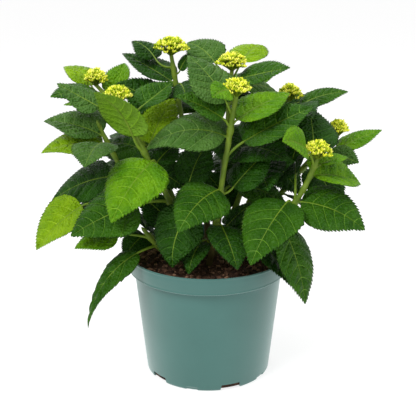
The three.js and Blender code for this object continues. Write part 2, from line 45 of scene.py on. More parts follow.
# The foot and tip of each shoot, the knee that draws its curve, and the width of its head of buds.
SHOOTS = {
    "left": {"foot": (-15, -25), "knee": (-52, -52, 275), "tip": (-118, -48, 398), "head": 40},
    "front": {"foot": (2, -28), "knee": (14, -72, 270), "tip": (36, -60, 410), "head": 40},
    "front-right": {"foot": (28, -22), "knee": (116, -82, 244), "tip": (142, -70, 330), "head": 40},
    "low": {"foot": (-40, -32), "knee": (-62, -44, 188), "tip": (-84, -54, 222), "head": 0},
    "low-left": {"foot": (-44, 14), "knee": (-90, 4, 190), "tip": (-140, -12, 236), "head": 0},
    "flank": {"foot": (-36, 0), "knee": (-100, 10, 240), "tip": (-150, 18, 352), "head": 0},
    "top": {"foot": (-6, 12), "knee": (-30, 30, 320), "tip": (-51, 40, 450), "head": 50},
    "crown": {"foot": (10, 8), "knee": (24, 25, 310), "tip": (33, 30, 430), "head": 45},
    "back-left": {"foot": (-22, 16), "knee": (-60, 50, 300), "tip": (-160, 70, 402), "head": 34},
    "back-right": {"foot": (24, 20), "knee": (50, 60, 290), "tip": (117, 72, 380), "head": 34},
    "right": {"foot": (38, 4), "knee": (118, 60, 270), "tip": (190, 85, 325), "head": 32},
    "rear-right": {"foot": (30, 38), "knee": (80, 110, 250), "tip": (116, 150, 322), "head": 36},
    "rear": {"foot": (0, 36), "knee": (-6, 100, 290), "tip": (8, 135, 372), "head": 40},
    "rear-left": {"foot": (-30, 36), "knee": (-76, 100, 260), "tip": (-104, 150, 334), "head": 36},
}

# How a leaf is made where its row says nothing else. stalk and lift are the petiole's length and its angle
# above the level, width is a share of the blade's length, and arch is how far the midrib bends down and sweep
# how far it bends sideways. roll and twist turn the blade about its midrib, and fold, cup and wave shape it
# across.
LEAF = {
    "stalk": 30,
    "lift": 40,
    "width": 0.85,
    "arch": 30,
    "sweep": 0,
    "roll": 0,
    "twist": 0,
    "fold": 0.1,
    "cup": -0.12,
    "wave": 0.05,
}

# The leaves of the near side: shoot, place along it, turn, rise, length, colour, and what differs from LEAF.
# They are in the order that they grow in, and a later one gives way to an earlier one.
# Each row's colour paints light and shade as well as the leaf's own tone: dark for a leaf in the shade inside
# the crown, bright or yellow for one where the key light falls, and grey for a painted sheen.
NEAR_LEAVES = [
    ("left", 0.6, 230, -40, 100, "bright", dict(stalk=20, lift=70, width=0.9, roll=-10, fold=0.3, cup=-0.35)),
    ("front", 0.77, 175, -10, 110, "grey_sheen", dict(stalk=10, lift=70, arch=70, roll=-20)),
    ("front", 0.48, 230, -25, 90, "mid", dict(stalk=10, lift=75, arch=50, roll=-20, fold=0)),
    ("front-right", 0.6, 230, -40, 100, "mid", dict(stalk=15, roll=-5, fold=0.2)),
    ("front-right", 0.57, 345, -20, 90, "mid", dict(stalk=20, width=0.9, arch=40, roll=30)),
    ("front", 0.7, 10, 25, 100, "mid", dict(arch=10, roll=20, fold=0.3)),
    ("front", 0.33, 210, -70, 80, "dark", dict(stalk=45, lift=25, arch=50, roll=-45)),
    ("front", 0.21, 290, -35, 70, "dark", dict(stalk=40, roll=-10, fold=0.2)),
    ("front-right", 0.36, 310, -65, 100, "mid", dict(lift=20, width=0.75, roll=-10)),
    ("left", 0.72, 215, 50, 85, "bright", dict(lift=55, arch=45, roll=20)),
    ("left", 0.74, 65, 35, 85, "yellow", dict(stalk=20, lift=15, width=0.65, roll=10, fold=0.2)),
    ("low-left", 0.95, 200, -40, 85, "yellow", dict(stalk=45, lift=25, width=0.9, roll=-20, fold=0.3)),
    ("left", 0.43, 200, -20, 95, "mid", dict(stalk=45, lift=0, width=0.95, arch=20, roll=-25)),
    ("low", 0.86, 190, -15, 60, "bright", dict(stalk=45, lift=10, roll=-20)),
    ("low", 0.67, 210, -50, 125, "mid", dict(lift=-10, width=0.36, arch=65, roll=-20, twist=40, fold=0)),
    ("back-left", 0.94, 135, 20, 65, "yellow", dict(lift=15, arch=55, fold=0.2)),
    ("back-left", 0.86, 85, 40, 60, "bright", dict(stalk=15, lift=65, width=0.8, arch=15, roll=-10, fold=0.6)),
    ("back-left", 0.79, 200, 10, 80, "mid", dict(stalk=40, arch=45, roll=-20)),
    ("left", 0.93, 180, 30, 60, "grey_sheen", dict(stalk=35, lift=20, arch=0, roll=-25)),
    ("left", 0.89, 45, 25, 60, "mid", dict(arch=0, roll=15, fold=0.4)),
    ("left", 0.39, 45, 55, 70, "dark", dict(stalk=40, roll=15, fold=0.2)),
    ("top", 0.93, 140, 25, 50, "dark", dict(stalk=35, lift=15, width=0.8, arch=50, roll=-15, fold=0)),
    ("top", 0.84, 145, 20, 90, "dark", dict(stalk=10, lift=25, width=0.65, arch=10, roll=-10, fold=0.3)),
    ("top", 0.89, 355, 60, 28, "dark", dict(stalk=10, roll=40)),
    ("crown", 0.94, 130, 20, 65, "grey_sheen", dict(stalk=40, lift=30, arch=40, roll=-25, fold=0.2)),
    ("front", 0.9, 140, 40, 85, "grey_sheen", dict(stalk=20, lift=60, width=0.95, roll=-5)),
    ("top", 0.65, 175, 30, 70, "dark", dict(stalk=35, lift=30, roll=-45, fold=0.2)),
    ("top", 0.61, 140, 15, 48, "dark", dict(stalk=45, roll=-35)),
    ("top", 0.76, 280, -10, 60, "dark", dict(lift=60, width=0.8, roll=25, fold=0)),
    ("crown", 0.92, 60, 15, 65, "yellow", dict(stalk=40, width=0.9, arch=45, roll=5)),
    ("crown", 0.91, 335, 15, 75, "mid", dict(stalk=15, width=0.8, arch=5, roll=25, fold=0.2)),
    ("crown", 0.81, 30, -15, 70, "grey_sheen", dict(stalk=35, roll=35, fold=0)),
    ("front", 0.84, 30, 15, 85, "bright", dict(stalk=15, lift=50, arch=20, roll=10, fold=0.2)),
    ("front", 0.83, 175, 25, 65, "mid", dict(stalk=20, lift=60, arch=20, roll=-25, fold=0.4)),
    ("front", 0.98, 240, -5, 40, "bright", dict(stalk=25, roll=-40)),
    ("front", 0.49, 25, 40, 75, "dark", dict(stalk=20, lift=20, arch=15, roll=15, fold=0)),
    ("front", 0.1, 240, -45, 50, "dark", dict(stalk=35, width=0.9, arch=55, roll=10, fold=0.2)),
    ("front", 0.19, 40, 25, 60, "dark", dict(lift=30, width=0.9, arch=20, roll=-10)),
    ("back-right", 0.88, 5, 15, 70, "mid", dict(stalk=35, lift=25, width=0.65, roll=20)),
    ("right", 0.83, 10, 20, 70, "bright", dict(stalk=25, lift=5, width=0.65, arch=10, roll=15)),
    ("right", 0.71, 320, 0, 55, "grey_sheen", dict(lift=25, roll=35)),
    ("front-right", 0.97, 90, 30, 85, "dark", dict(stalk=25, lift=25, roll=5, fold=0)),
    ("front-right", 0.93, 230, 20, 55, "bright", dict(stalk=35, lift=55, roll=-55, fold=0.3)),
    ("front-right", 0.86, 30, 10, 46, "bright", dict(stalk=20, roll=5, fold=0.3)),
    ("front-right", 0.76, 25, -15, 85, "bright", dict(stalk=20, lift=50, width=0.95, roll=25, fold=0.4)),
    ("front-right", 0.64, 85, 0, 65, "dark", dict(stalk=45, roll=-50, fold=0.3)),
    ("back-right", 0.67, 305, 15, 42, "dark", dict(stalk=35, lift=30, width=0.8, arch=45, roll=45)),
    ("flank", 0.92, 165, 10, 85, "grey_sheen", dict(stalk=10, width=0.95, roll=-15, fold=0.3)),
    ("flank", 0.82, 185, -5, 85, "yellow", dict(stalk=20, width=0.9, arch=45, roll=-15, fold=0.2)),
    ("flank", 0.87, 260, -10, 75, "grey_sheen", dict(stalk=45, lift=20, arch=40)),
    ("flank", 0.69, 355, -25, 80, "dark", dict(stalk=20, lift=55, roll=50)),
    ("flank", 0.6, 175, -25, 95, "dark", dict(stalk=35, lift=20, roll=-30)),
    ("back-right", 0.48, 345, -45, 70, "dark", dict(stalk=35, roll=35)),
    ("left", 0.63, 55, 20, 50, "dark", dict(stalk=10, roll=15)),
    ("crown", 0.6, 270, -30, 70, "dark", dict(lift=55, roll=10)),
    ("left", 0.24, 170, 40, 60, "dark", dict(stalk=20, lift=25, roll=-45)),
    ("low-left", 0.31, 235, -20, 50, "dark", dict(stalk=35, roll=-15)),
    ("low", 0.93, 105, 5, 65, "dark", dict(stalk=15, lift=15, arch=50, roll=50)),
    ("back-right", 0.24, 140, 45, 65, "dark", dict(stalk=10, lift=10, roll=-35)),
    ("right", 0.66, 295, -35, 75, "dark", dict(lift=10, roll=5)),
    ("right", 0.48, 65, 40, 45, "dark", dict(stalk=40, lift=55, roll=-5)),
    ("back-right", 0.78, 40, 5, 60, "dark", dict(stalk=40, roll=35)),
]

# The opposite pairs that fill the rest of the crown: shoot, places along it, and turn of the lowest pair.
PAIRS = [
    ("rear", (0.3, 0.46, 0.62, 0.78, 0.93), 40),
    ("rear-left", (0.34, 0.52, 0.7, 0.9), 100),
    ("rear-right", (0.34, 0.52, 0.7), 80),
    ("back-left", (0.22, 0.34, 0.48, 0.6, 0.7), 120),
    ("back-right", (0.22, 0.34, 0.48, 0.6, 0.78), 100),
    ("top", (0.24, 0.34, 0.46, 0.56, 0.7), 110),
    ("crown", (0.2, 0.3, 0.4, 0.5, 0.6, 0.7, 0.78), 70),
    ("right", (0.22, 0.34, 0.48, 0.6), 60),
    ("flank", (0.22, 0.34, 0.48), 110),
    ("low-left", (0.4, 0.6, 0.8), 100),
    ("left", (0.22, 0.34, 0.5), 50),
    ("front", (0.1, 0.26, 0.36), 100),
    ("front-right", (0.14, 0.44, 0.5), 130),
    ("low", (0.3, 0.6), 60),
]

# Turns and rises that a leaf tries in this order when its own place is taken.
GIVE_WAY = [
    (0, 0), (0, 4), (0, -4), (6, 0), (-6, 0), (6, 4), (-6, 4), (6, -4), (-6, -4),
    (0, 8), (0, -8), (12, 0), (-12, 0), (12, 8), (-12, 8), (12, -8), (-12, -8),
    (24, 0), (-24, 0), (0, 16), (0, -16), (24, 12), (-24, 12), (24, -14), (-24, -14),
    (38, 0), (-38, 0), (38, 14), (-38, 14),
]

# Room that a blade keeps from what has grown before it.
BLADE_ROOM = 7.0
PETIOLE_ROOM = 5.0
STEM_ROOM = 7.5
OWN_STEM = 34.0  # a blade may come close to its own shoot within this distance of its node
HEAD_ROOM = 3.0
HEAD_MIDDLE = 10.0  # the room round a head is centred this far above its shoot's tip
HEAD_FLATNESS = 1.8
SOIL_REACH = 96.0  # within this radius the room is kept over the peat,
RIM_REACH = 122.0  # and out to this one over the pot's lip
OVER_POT = 6.0

# Points for the room tests: along and across a blade, along a petiole and along a shoot.
PROBE_ROWS = 12
PROBE_COLUMNS = 8
PETIOLE_PROBES = (0.4, 0.6, 0.8, 1.0)
STEM_PROBES = 28

MIDRIB_STEPS = 24
BASE_ROUND = 0.42  # a blade's half width grows with this power of the distance from its base,
TIP_TAPER = 0.9  # and shrinks with this power of the distance to its tip
WIDEST = BASE_ROUND / (BASE_ROUND + TIP_TAPER)
FULL_WIDTH = WIDEST**BASE_ROUND * (1 - WIDEST) ** TIP_TAPER

# Colours of the leaves that the rule makes. The dark colour paints the shade inside the crown, so most older
# leaves on a near shoot take it; a rear shoot has fewer dark leaves, and its lighter ones stand in for light
# on the back of the crown, which the lamps light less: painted light.
YOUNG = 0.85  # those above this place on their shoot are bright
DARK_SHARE = 0.6  # of the others on a near shoot
REAR_DARK_SHARE = 0.2  # and on a rear one


def chance(key):
    """A repeatable number from 0 to 1 for each key."""
    value = math.sin(key * 12.9898 + 4.1414) * 43758.5453
    return value - math.floor(value)


def half_width(s):
    """Half the blade's width from 0 at the base to 1 at the tip, as a share of its greatest."""
    inside = np.clip(s, 0, 1)
    return inside**BASE_ROUND * (1 - inside) ** TIP_TAPER / FULL_WIDTH


def bezier(points, t):
    """Points of a quadratic curve at each t."""
    start, knee, end = (np.asarray(p, float) for p in points)
    t = np.atleast_1d(np.asarray(t, float))[:, None]
    return (1 - t) ** 2 * start + 2 * t * (1 - t) * knee + t * t * end


def shoot_points(name):
    """The three points that draw a shoot's curve."""
    shoot = SHOOTS[name]
    return (*shoot["foot"], GROUND), shoot["knee"], shoot["tip"]


def level(turn):
    """Level directions at each turn, in radians."""
    return np.stack([np.cos(turn), np.sin(turn), np.zeros_like(turn)], -1)


class Leaf:
    """A leaf's petiole and blade: where it starts, and its frame at any place along the midrib."""

    def __init__(self, shoot, place, turn, rise, length, colour, own):
        self.shoot, self.place, self.length, self.colour = shoot, place, length, colour
        self.turn, self.rise = turn, rise
        self.form = {**LEAF, **own}
        self.node = bezier(shoot_points(shoot), place)[0]
        lift = math.radians(self.form["lift"])
        start = np.array([0.0])
        outwards = math.cos(lift) * level(self.heading(start))[0] + math.sin(lift) * UP
        self.base = self.node + outwards * self.form["stalk"]
        steps = (np.arange(MIDRIB_STEPS) + 0.5) / MIDRIB_STEPS
        moves = np.cumsum(self.along(steps) * (length / MIDRIB_STEPS), axis=0)
        self.stations = np.vstack([self.base, self.base + moves])

    def heading(self, s):
        """The midrib's turn at s, in radians."""
        return math.radians(self.turn) + math.radians(self.form["sweep"]) * (s - 0.5)

    def along(self, s):
        """The midrib's direction at each s."""
        pitch = np.radians(self.rise + self.form["arch"] * (0.5 - s))
        return level(self.heading(s)) * np.cos(pitch)[:, None] + UP * np.sin(pitch)[:, None]

    def midrib(self, s):
        """The midrib's point at each s."""
        step = np.clip(np.floor(s * MIDRIB_STEPS).astype(int), 0, MIDRIB_STEPS - 1)
        part = (s * MIDRIB_STEPS - step)[:, None]
        return self.stations[step] * (1 - part) + self.stations[step + 1] * part

    def blade(self, s, w, height=0.0):
        """Points at s along the midrib and w across it, -1 to 1, at a height above the middle surface."""
        form = self.form
        along = self.along(s)
        turned = self.heading(s)
        left = np.stack([-np.sin(turned), np.cos(turned), np.zeros_like(turned)], -1)
        normal = np.cross(along, left)
        roll = np.radians(form["roll"] + form["twist"] * s)[:, None]
        side = -left * np.cos(roll) - normal * np.sin(roll)
        face = normal * np.cos(roll) - left * np.sin(roll)
        half = self.length * form["width"] * half_width(s) / 2
        wave = form["wave"] * np.sin(6 * s + np.where(w > 0, 1, 3)) * w * w
        raised = form["fold"] * np.abs(w) + form["cup"] * w * w + wave
        across = 1 / math.hypot(1, form["fold"] + form["cup"])
        return self.midrib(s) + side * (half * w * across)[:, None] + face * (half * raised + height)[:, None]

    def petiole(self, t):
        """Points of the petiole, from its shoot at 0 to the blade's base at 1."""
        bend = self.base - self.along(np.array([0.0]))[0] * self.form["stalk"] / 2
        return bezier((self.node, bend, self.base), t)

    def probe(self):
        """Points spread over the blade and along the petiole, for the room test."""
        places = np.arange(1, PROBE_ROWS) / PROBE_ROWS
        across = 2 * np.arange(PROBE_COLUMNS + 1) / PROBE_COLUMNS - 1
        s, w = np.meshgrid(places, across, indexing="ij")
        self.points = self.blade(s.ravel(), w.ravel())
        self.stalk = self.petiole(PETIOLE_PROBES)
        self.middle = self.midrib(np.array([0.5]))[0]
        return self


def touches(points, others, distance):
    """Whether any point lies within a distance of any of the others."""
    gaps = ((points[:, None] - others[None]) ** 2).sum(-1)
    return gaps.size > 0 and bool(gaps.min() < distance * distance)


def meets_pot(points):
    """Whether any point lies in the pot or the peat, or too close above them."""
    radius = np.hypot(points[:, 0], points[:, 1])
    floor = np.where(radius < SOIL_REACH, GROUND, POT_HEIGHT) + OVER_POT
    return bool(((radius < RIM_REACH) & (points[:, 2] < floor)).any())


def is_free(leaf, stems, heads, grown):
    """Whether a leaf has room among the pot, the shoots, the heads and the leaves that have grown."""
    points, stalk = leaf.points, leaf.stalk
    if meets_pot(points):
        return False
    far = points[((points - leaf.node) ** 2).sum(1) >= OWN_STEM**2]
    for name, stem in stems.items():
        own = name == leaf.shoot
        if touches(far if own else points, stem, STEM_ROOM):
            return False
        if not own and touches(stalk, stem, STEM_ROOM):
            return False
    for centre, radius in heads:
        away = (points - centre) * (1, 1, HEAD_FLATNESS)
        if ((away**2).sum(1) < radius**2).any():
            return False
    for other in grown:
        if ((leaf.middle - other.middle) ** 2).sum() >= (leaf.length + other.length) ** 2:
            continue
        if touches(points, other.points, BLADE_ROOM):
            return False
        if leaf.shoot == other.shoot:
            continue
        if touches(stalk, other.points, PETIOLE_ROOM) or touches(points, other.stalk, PETIOLE_ROOM):
            return False
    return True


def pair_leaf(shoot, place, first_turn, pair, side, key):
    """The row of one leaf of a pair.

    A pair stands a quarter turn from the one below it. Lower leaves droop more and are larger, and each leaf
    strays a little from that.
    """
    depth = 1 - place
    turn = first_turn + 90 * pair + 180 * side + (chance(key) - 0.5) * 30
    rise = 12 - 45 * depth + (chance(key + 0.3) - 0.5) * 20
    growth = math.sin(math.pi * min(1, depth + 0.25)) * (0.85 + 0.3 * chance(key + 0.6))
    own = {"arch": 30 + 20 * chance(key + 0.8), "roll": (chance(key + 0.9) - 0.5) * 40}
    # dark paints the shade inside the crown; a rear shoot's fewer dark leaves paint light on the back
    dark_share = REAR_DARK_SHARE if shoot.startswith("rear") else DARK_SHARE
    if place > YOUNG:
        colour = "bright"
    else:
        colour = "dark" if chance(key + 0.5) < dark_share else "mid"
    return shoot, place, turn, rise, 78 + 26 * growth, colour, own


def all_leaves():
    """The rows of all leaves, near ones first."""
    rows = list(NEAR_LEAVES)
    key = 0
    for shoot, places, first_turn in PAIRS:
        for pair, place in enumerate(places):
            for side in (0, 1):
                key += 1
                rows.append(pair_leaf(shoot, place, first_turn, pair, side, key))
    return rows


def grow_leaves():
    """Grows the leaves in their order. One whose place is taken gives way a little, or is left out."""
    stems = {name: bezier(shoot_points(name), np.linspace(0, 1, STEM_PROBES)) for name in SHOOTS}
    heads = [
        (np.array(shoot["tip"]) + UP * HEAD_MIDDLE, shoot["head"] / 2 + HEAD_ROOM)
        for shoot in SHOOTS.values()
        if shoot["head"]
    ]
    grown = []
    for shoot, place, turn, rise, length, colour, own in all_leaves():
        for aside, up in GIVE_WAY:
            leaf = Leaf(shoot, place, turn + aside, rise + up, length, colour, own).probe()
            if is_free(leaf, stems, heads, grown):
                grown.append(leaf)
                break
    return grown


# ---- Meshes ----------------------------------------------------------------------------------------------


class Heap:
    """Points and faces of many small things, joined in one mesh. Each face has its material's number."""

    def __init__(self):
        self.points, self.faces, self.paints = [], [], []
        self.count = 0

    def add(self, points, faces, paint=0):
        """Adds a shape. paint is one material's number, or one for each face."""
        self.points.append(np.asarray(points, float))
        self.faces.extend((np.asarray(f) + self.count).tolist() for f in faces)
        self.paints.extend([paint] * len(faces) if np.isscalar(paint) else list(paint))
        self.count += len(points)

    def build(self, name, materials, smooth=True):
        """Makes the heap an object of the scene, in metres."""
        mesh = bpy.data.meshes.new(name)
        mesh.from_pydata(np.concatenate(self.points) * MM, [], self.faces)
        for material in materials:
            mesh.materials.append(material)
        mesh.polygons.foreach_set("material_index", self.paints)
        mesh.polygons.foreach_set("use_smooth", [smooth] * len(mesh.polygons))
        mesh.validate()
        mesh.update()
        piece = bpy.data.objects.new(name, mesh)
        bpy.context.scene.collection.objects.link(piece)
        return piece


def grid_faces(rows, columns):
    """Quads of a grid of points whose last column is joined to its first."""
    r, c = np.meshgrid(np.arange(rows - 1), np.arange(columns), indexing="ij")
    n = (c + 1) % columns
    quads = np.stack([r * columns + c, r * columns + n, (r + 1) * columns + n, (r + 1) * columns + c], -1)
    return quads.reshape(-1, 4)


def end_faces(rings, sides):
    """Triangles that close both ends of a grid of rings. Their middles are the points after the grid's."""
    low, high = rings * sides, rings * sides + 1
    faces = []
    for i in range(sides):
        j = (i + 1) % sides
        faces.append((low, j, i))
        faces.append((high, (rings - 1) * sides + i, (rings - 1) * sides + j))
    return faces


def tube(heap, centres, radii, sides, paint=0, ribs=0.0, flat=1.0):
    """Adds a closed tube through the centres.

    ribs is how far every other side stands out, as a share of the radius. flat squeezes the tube in depth.
    """
    centres = np.asarray(centres, float)
    radii = np.broadcast_to(np.asarray(radii, float), (len(centres),))
    along = np.gradient(centres, axis=0)
    along /= np.linalg.norm(along, axis=1)[:, None]
    chord = centres[-1] - centres[0]
    steady = np.cross(chord, UP)
    if np.linalg.norm(steady) < 0.1 * np.linalg.norm(chord):
        steady = np.array([1.0, 0.0, 0.0])
    right = steady - along * (along @ steady)[:, None]
    right /= np.linalg.norm(right, axis=1)[:, None]
    forward = np.cross(right, along)
    turn = np.arange(sides) * 2 * math.pi / sides
    reach = 1 + ribs * np.cos(turn * sides / 2)
    ring = right[:, None] * (np.cos(turn) * reach)[None, :, None]
    ring = ring + forward[:, None] * (np.sin(turn) * reach * flat)[None, :, None]
    points = (centres[:, None] + ring * radii[:, None, None]).reshape(-1, 3)
    rings = len(centres)
    faces = list(grid_faces(rings, sides))
    points = np.vstack([points, centres[0], centres[-1]])
    heap.add(points, faces + end_faces(rings, sides), paint)


def lathe(profile, sides):
    """Points and faces of a turned body, from pairs of radius and height that start and end on the axis."""
    inner = profile[1:-1]
    turn = np.arange(sides) * 2 * math.pi / sides
    points = [(r * math.cos(a), r * math.sin(a), z) for r, z in inner for a in turn]
    points += [(0, 0, profile[0][1]), (0, 0, profile[-1][1])]
    faces = list(grid_faces(len(inner), sides)) + end_faces(len(inner), sides)
    return np.array(points, float), faces


# ---- Materials -------------------------------------------------------------------------------------------


def linear(red, green, blue):
    """A screen colour, 0 to 255, as Blender's linear one."""
    parts = [v / 255 for v in (red, green, blue)]
    return (*[v / 12.92 if v <= 0.04045 else ((v + 0.055) / 1.055) ** 2.4 for v in parts], 1.0)


def new_material(name, roughness, specular=0.5):
    """A new material, its node tree and its shader."""
    material = bpy.data.materials.new(name)
    material.use_nodes = True
    shader = material.node_tree.nodes["Principled BSDF"]
    shader.inputs["Roughness"].default_value = roughness
    shader.inputs["Specular IOR Level"].default_value = specular
    return material, material.node_tree, shader


TONE_EDGES = (0.35, 0.65)  # where the clouds reach the first and the second tone
CLOUD_DETAIL = 3.0


def mottle(tree, shader, low, high, scale):
    """Base colour that wanders between two near tones."""
    place = tree.nodes.new("ShaderNodeTexCoord")
    clouds = tree.nodes.new("ShaderNodeTexNoise")
    clouds.inputs["Scale"].default_value = scale
    clouds.inputs["Detail"].default_value = CLOUD_DETAIL
    ramp = tree.nodes.new("ShaderNodeValToRGB")
    for element, position, tone in zip(ramp.color_ramp.elements, TONE_EDGES, (low, high)):
        element.position = position
        element.color = tone
    tree.links.new(place.outputs["Object"], clouds.inputs["Vector"])
    tree.links.new(clouds.outputs["Fac"], ramp.inputs["Fac"])
    tree.links.new(ramp.outputs["Color"], shader.inputs["Base Color"])
    return place


def relief(tree, shader, place, texture, output, scale, depth, strength):
    """Fine relief from a procedural texture."""
    pattern = tree.nodes.new(texture)
    pattern.inputs["Scale"].default_value = scale
    bump = tree.nodes.new("ShaderNodeBump")
    bump.inputs["Distance"].default_value = depth
    bump.inputs["Strength"].default_value = strength
    tree.links.new(place.outputs["Object"], pattern.inputs["Vector"])
    tree.links.new(pattern.outputs[output], bump.inputs["Height"])
    tree.links.new(bump.outputs["Normal"], shader.inputs["Normal"])


def surface(name, low, high, scale, roughness, bump=None, specular=0.5):
    """A material whose colour wanders between two tones.

    bump is its relief: texture, output, scale, depth and strength.
    """
    material, tree, shader = new_material(name, roughness, specular)
    place = mottle(tree, shader, linear(*low), linear(*high), scale)
    if bump:
        relief(tree, shader, place, *bump)
    return material


# The two tones of the upper side and the tone of the veins, for each colour of leaf. The colours are partly
# the leaves' own and partly painted light. Yellow and bright are a young leaf's light yellow-green, made
# lighter still for leaves where the key light falls on them or shines through them: painted light. Mid is a
# grown leaf's green.
# The grey colour is a green leaf with a painted grey sheen, the light that its waxy upper side reflects. Dark
# is a grown leaf's deep green, made darker for the leaves that stand in the shade inside the crown: painted
# shade.
LEAF_COLOURS = {
    "yellow": ((98, 136, 2), (122, 158, 8), (146, 176, 36)),
    "bright": ((68, 116, 2), (94, 140, 8), (120, 160, 32)),
    "mid": ((34, 74, 4), (50, 92, 10), (100, 140, 40)),
    "grey_sheen": ((52, 88, 26), (70, 106, 40), (114, 144, 72)),
    "dark": ((20, 54, 2), (34, 74, 6), (70, 112, 28)),
}
UNDERSIDE = (112, 140, 74)
# The undersides of yellow and bright leaves keep more of their upper side's tone: painted light, for young
# leaves that the light shines through.
UNDERSIDE_SHARE = {"yellow": 0.3, "bright": 0.2, "mid": 0.6, "grey_sheen": 0.6, "dark": 0.6}

# Reliefs: texture, output, scale, depth and strength.
QUILT = ("ShaderNodeTexVoronoi", "Distance", 300, 0.003, 0.9)
FINE_GRAIN = ("ShaderNodeTexNoise", "Fac", 650, 0.0007, 0.5)
MOULD_GRAIN = ("ShaderNodeTexNoise", "Fac", 900, 0.0003, 0.25)
PEAT_GRAIN = ("ShaderNodeTexNoise", "Fac", 500, 0.002, 0.9)


def blend_tone(first, second, share):
    """A colour that lies a share of the way from the first to the second."""
    return tuple(round(a * (1 - share) + b * share) for a, b in zip(first, second))


def leaf_materials(colour):
    """Materials of a leaf's upper side, underside and veins."""
    low, high, vein = LEAF_COLOURS[colour]
    under = blend_tone(high, UNDERSIDE, UNDERSIDE_SHARE[colour])
    return [
        surface(f"leaf-{colour}", low, high, 38, 0.44, QUILT, 0.12),
        surface(f"leaf-{colour}-underside", under, blend_tone(under, UNDERSIDE, 0.3), 45, 0.7, QUILT, 0.12),
        surface(f"leaf-{colour}-vein", vein, blend_tone(vein, high, 0.3), 60, 0.5, None, 0.16),
    ]


# ---- Leaves -----------------------------------------------------------------------------------------------

VEIN_PAIRS = 6
PANEL_ROWS = 12  # rows of faces between two veins
VEIN_HALF = 0.004  # half a side vein's width at the midrib, as a share of the blade's length
VEIN_LEAN = 0.4  # how far a side vein runs forward to the margin
VEIN_CURVE = 1.35
VEIN_TAPER = 0.6  # how much narrower it is at the margin
LEAN_START = 0.09
MIDRIB_HALF = (0.75, 0.2)  # millimetres at the base and at the tip
MIDRIB_SHARE = 0.06  # and at most this share of the blade's half width
COLUMNS = (0.1, 0.25, 0.44, 0.63, 0.8, 0.93, 1.0)
BLADE_START, BLADE_NECK, BLADE_END = 0.0006, 0.004, 0.9985  # places of the first two rows and of the last
FULL_LENGTH = 100.0  # the sizes below are in millimetres, on a blade of this length
BULGE = 3.2  # how far the panels between the veins stand up
BULGE_ROUND = 0.75
BULGE_EDGES = (0.04, 0.2, 0.4)  # where it starts beside the midrib, and how far it takes to rise and to fall
TOOTH_PITCH = 5.2  # along the margin
TOOTH_LOW, TOOTH_HIGH = -1.8, 2.6  # how far the margin stands out
TOOTH_AHEAD = 0.6  # how far a tooth points forward, as a share of how far it stands out
TOOTHLESS = (0.06, 0.08)  # shares of the margin where the teeth grow and fade, at the base and at the tip
TIP_DRAWN = 0.035  # how far the tip is drawn out, as a share of the length
TIP_START = 0.84  # and where along the midrib that starts
BLADE_THICKNESS = 0.5
LEAVES_PER_PIECE = 40
UPPER, UNDER, VEIN = 0, 1, 2


def unit_rows(vectors):
    """Each vector at length one."""
    return vectors / np.maximum(np.linalg.norm(vectors, axis=-1), 1e-6)[..., None]


def vein_rows():
    """Places along the midrib where the rows of faces start, and whether a side vein lies beyond each row."""
    rows, is_vein = [BLADE_START, BLADE_NECK], [False, False]
    for k in range(VEIN_PAIRS):
        for j in range(PANEL_ROWS + 1):
            edge = VEIN_HALF if j == 0 else -VEIN_HALF if j == PANEL_ROWS else 0
            rows.append((k + j / PANEL_ROWS) / VEIN_PAIRS + edge)
            is_vein.append(j == PANEL_ROWS and k < VEIN_PAIRS - 1)
    rows[-1] = BLADE_END
    return np.array(rows), is_vein


def blade_grid(leaf, rows, is_vein):
    """The blade's grid: v, the place along the midrib that each point belongs to, s, where it lies, and w."""
    shares = np.array([*[-c for c in reversed(COLUMNS)], 0, 0, *COLUMNS])
    v, w = np.meshgrid(rows, shares, indexing="ij")

    # The two middle columns are the midrib's edges, at a width in millimetres.
    half = leaf.length * leaf.form["width"] * half_width(rows) / 2
    rib = MIDRIB_HALF[0] * (1 - rows) + MIDRIB_HALF[1] * rows
    edge = np.minimum(MIDRIB_SHARE, rib / np.maximum(half, 1e-6))
    middle = len(shares) // 2
    w[:, middle - 1], w[:, middle] = -edge, edge

    # Side veins lean forward, and taper towards the margin.
    reach = np.abs(w)
    beside_vein = np.array(is_vein) | np.roll(is_vein, 1)
    nearest = np.round(v * VEIN_PAIRS) / VEIN_PAIRS
    v = np.where(beside_vein[:, None], v + (nearest - v) * VEIN_TAPER * reach, v)
    lean = VEIN_LEAN * reach**VEIN_CURVE * (1 - v) * (1 - np.exp(-v / LEAN_START))
    return v, v + lean, w


def upper_side(leaf, v, s, w):
    """Points of the blade's upper side, with panels that stand up between the veins and a drawn-out tip."""
    reach = np.abs(w)
    crown = np.abs(np.sin(math.pi * (v * VEIN_PAIRS % 1))) ** BULGE_ROUND
    start, climb, fall = BULGE_EDGES
    rise = np.clip((reach - start) / climb, 0, 1) * np.clip((1 - reach) / fall, 0, 1) ** 0.8
    size = leaf.length / FULL_LENGTH
    bulge = BULGE * size * crown * rise * np.sqrt(np.clip(half_width(s), 0, 1))
    upper = leaf.blade(s.ravel(), w.ravel(), bulge.ravel()).reshape(*s.shape, 3)
    drawn = TIP_DRAWN * leaf.length * np.clip((s - TIP_START) / (1 - TIP_START), 0, 1) ** 2
    return upper + leaf.along(s.ravel()).reshape(*s.shape, 3) * drawn[..., None]


def cut_teeth(upper, rows, scale):
    """Teeth along both margins. Each one rises slowly, leans forwards and falls back at once."""
    middle = upper[:, upper.shape[1] // 2]
    growing = np.clip(rows / TOOTHLESS[0], 0, 1) * np.clip((1 - rows) / TOOTHLESS[1], 0, 1)
    for margin in (0, upper.shape[1] - 1):
        line = upper[:, margin]
        steps = np.linalg.norm(np.diff(line, axis=0), axis=1)
        phase = np.concatenate([[0], np.cumsum(steps)]) / (TOOTH_PITCH * scale) % 1
        tooth = (TOOTH_LOW + (TOOTH_HIGH - TOOTH_LOW) * phase) * scale * growing
        out = unit_rows(line - middle)
        ahead = unit_rows(np.gradient(line, axis=0))
        upper[:, margin] = line + out * tooth[:, None] + ahead * (np.maximum(tooth, 0) * TOOTH_AHEAD)[:, None]


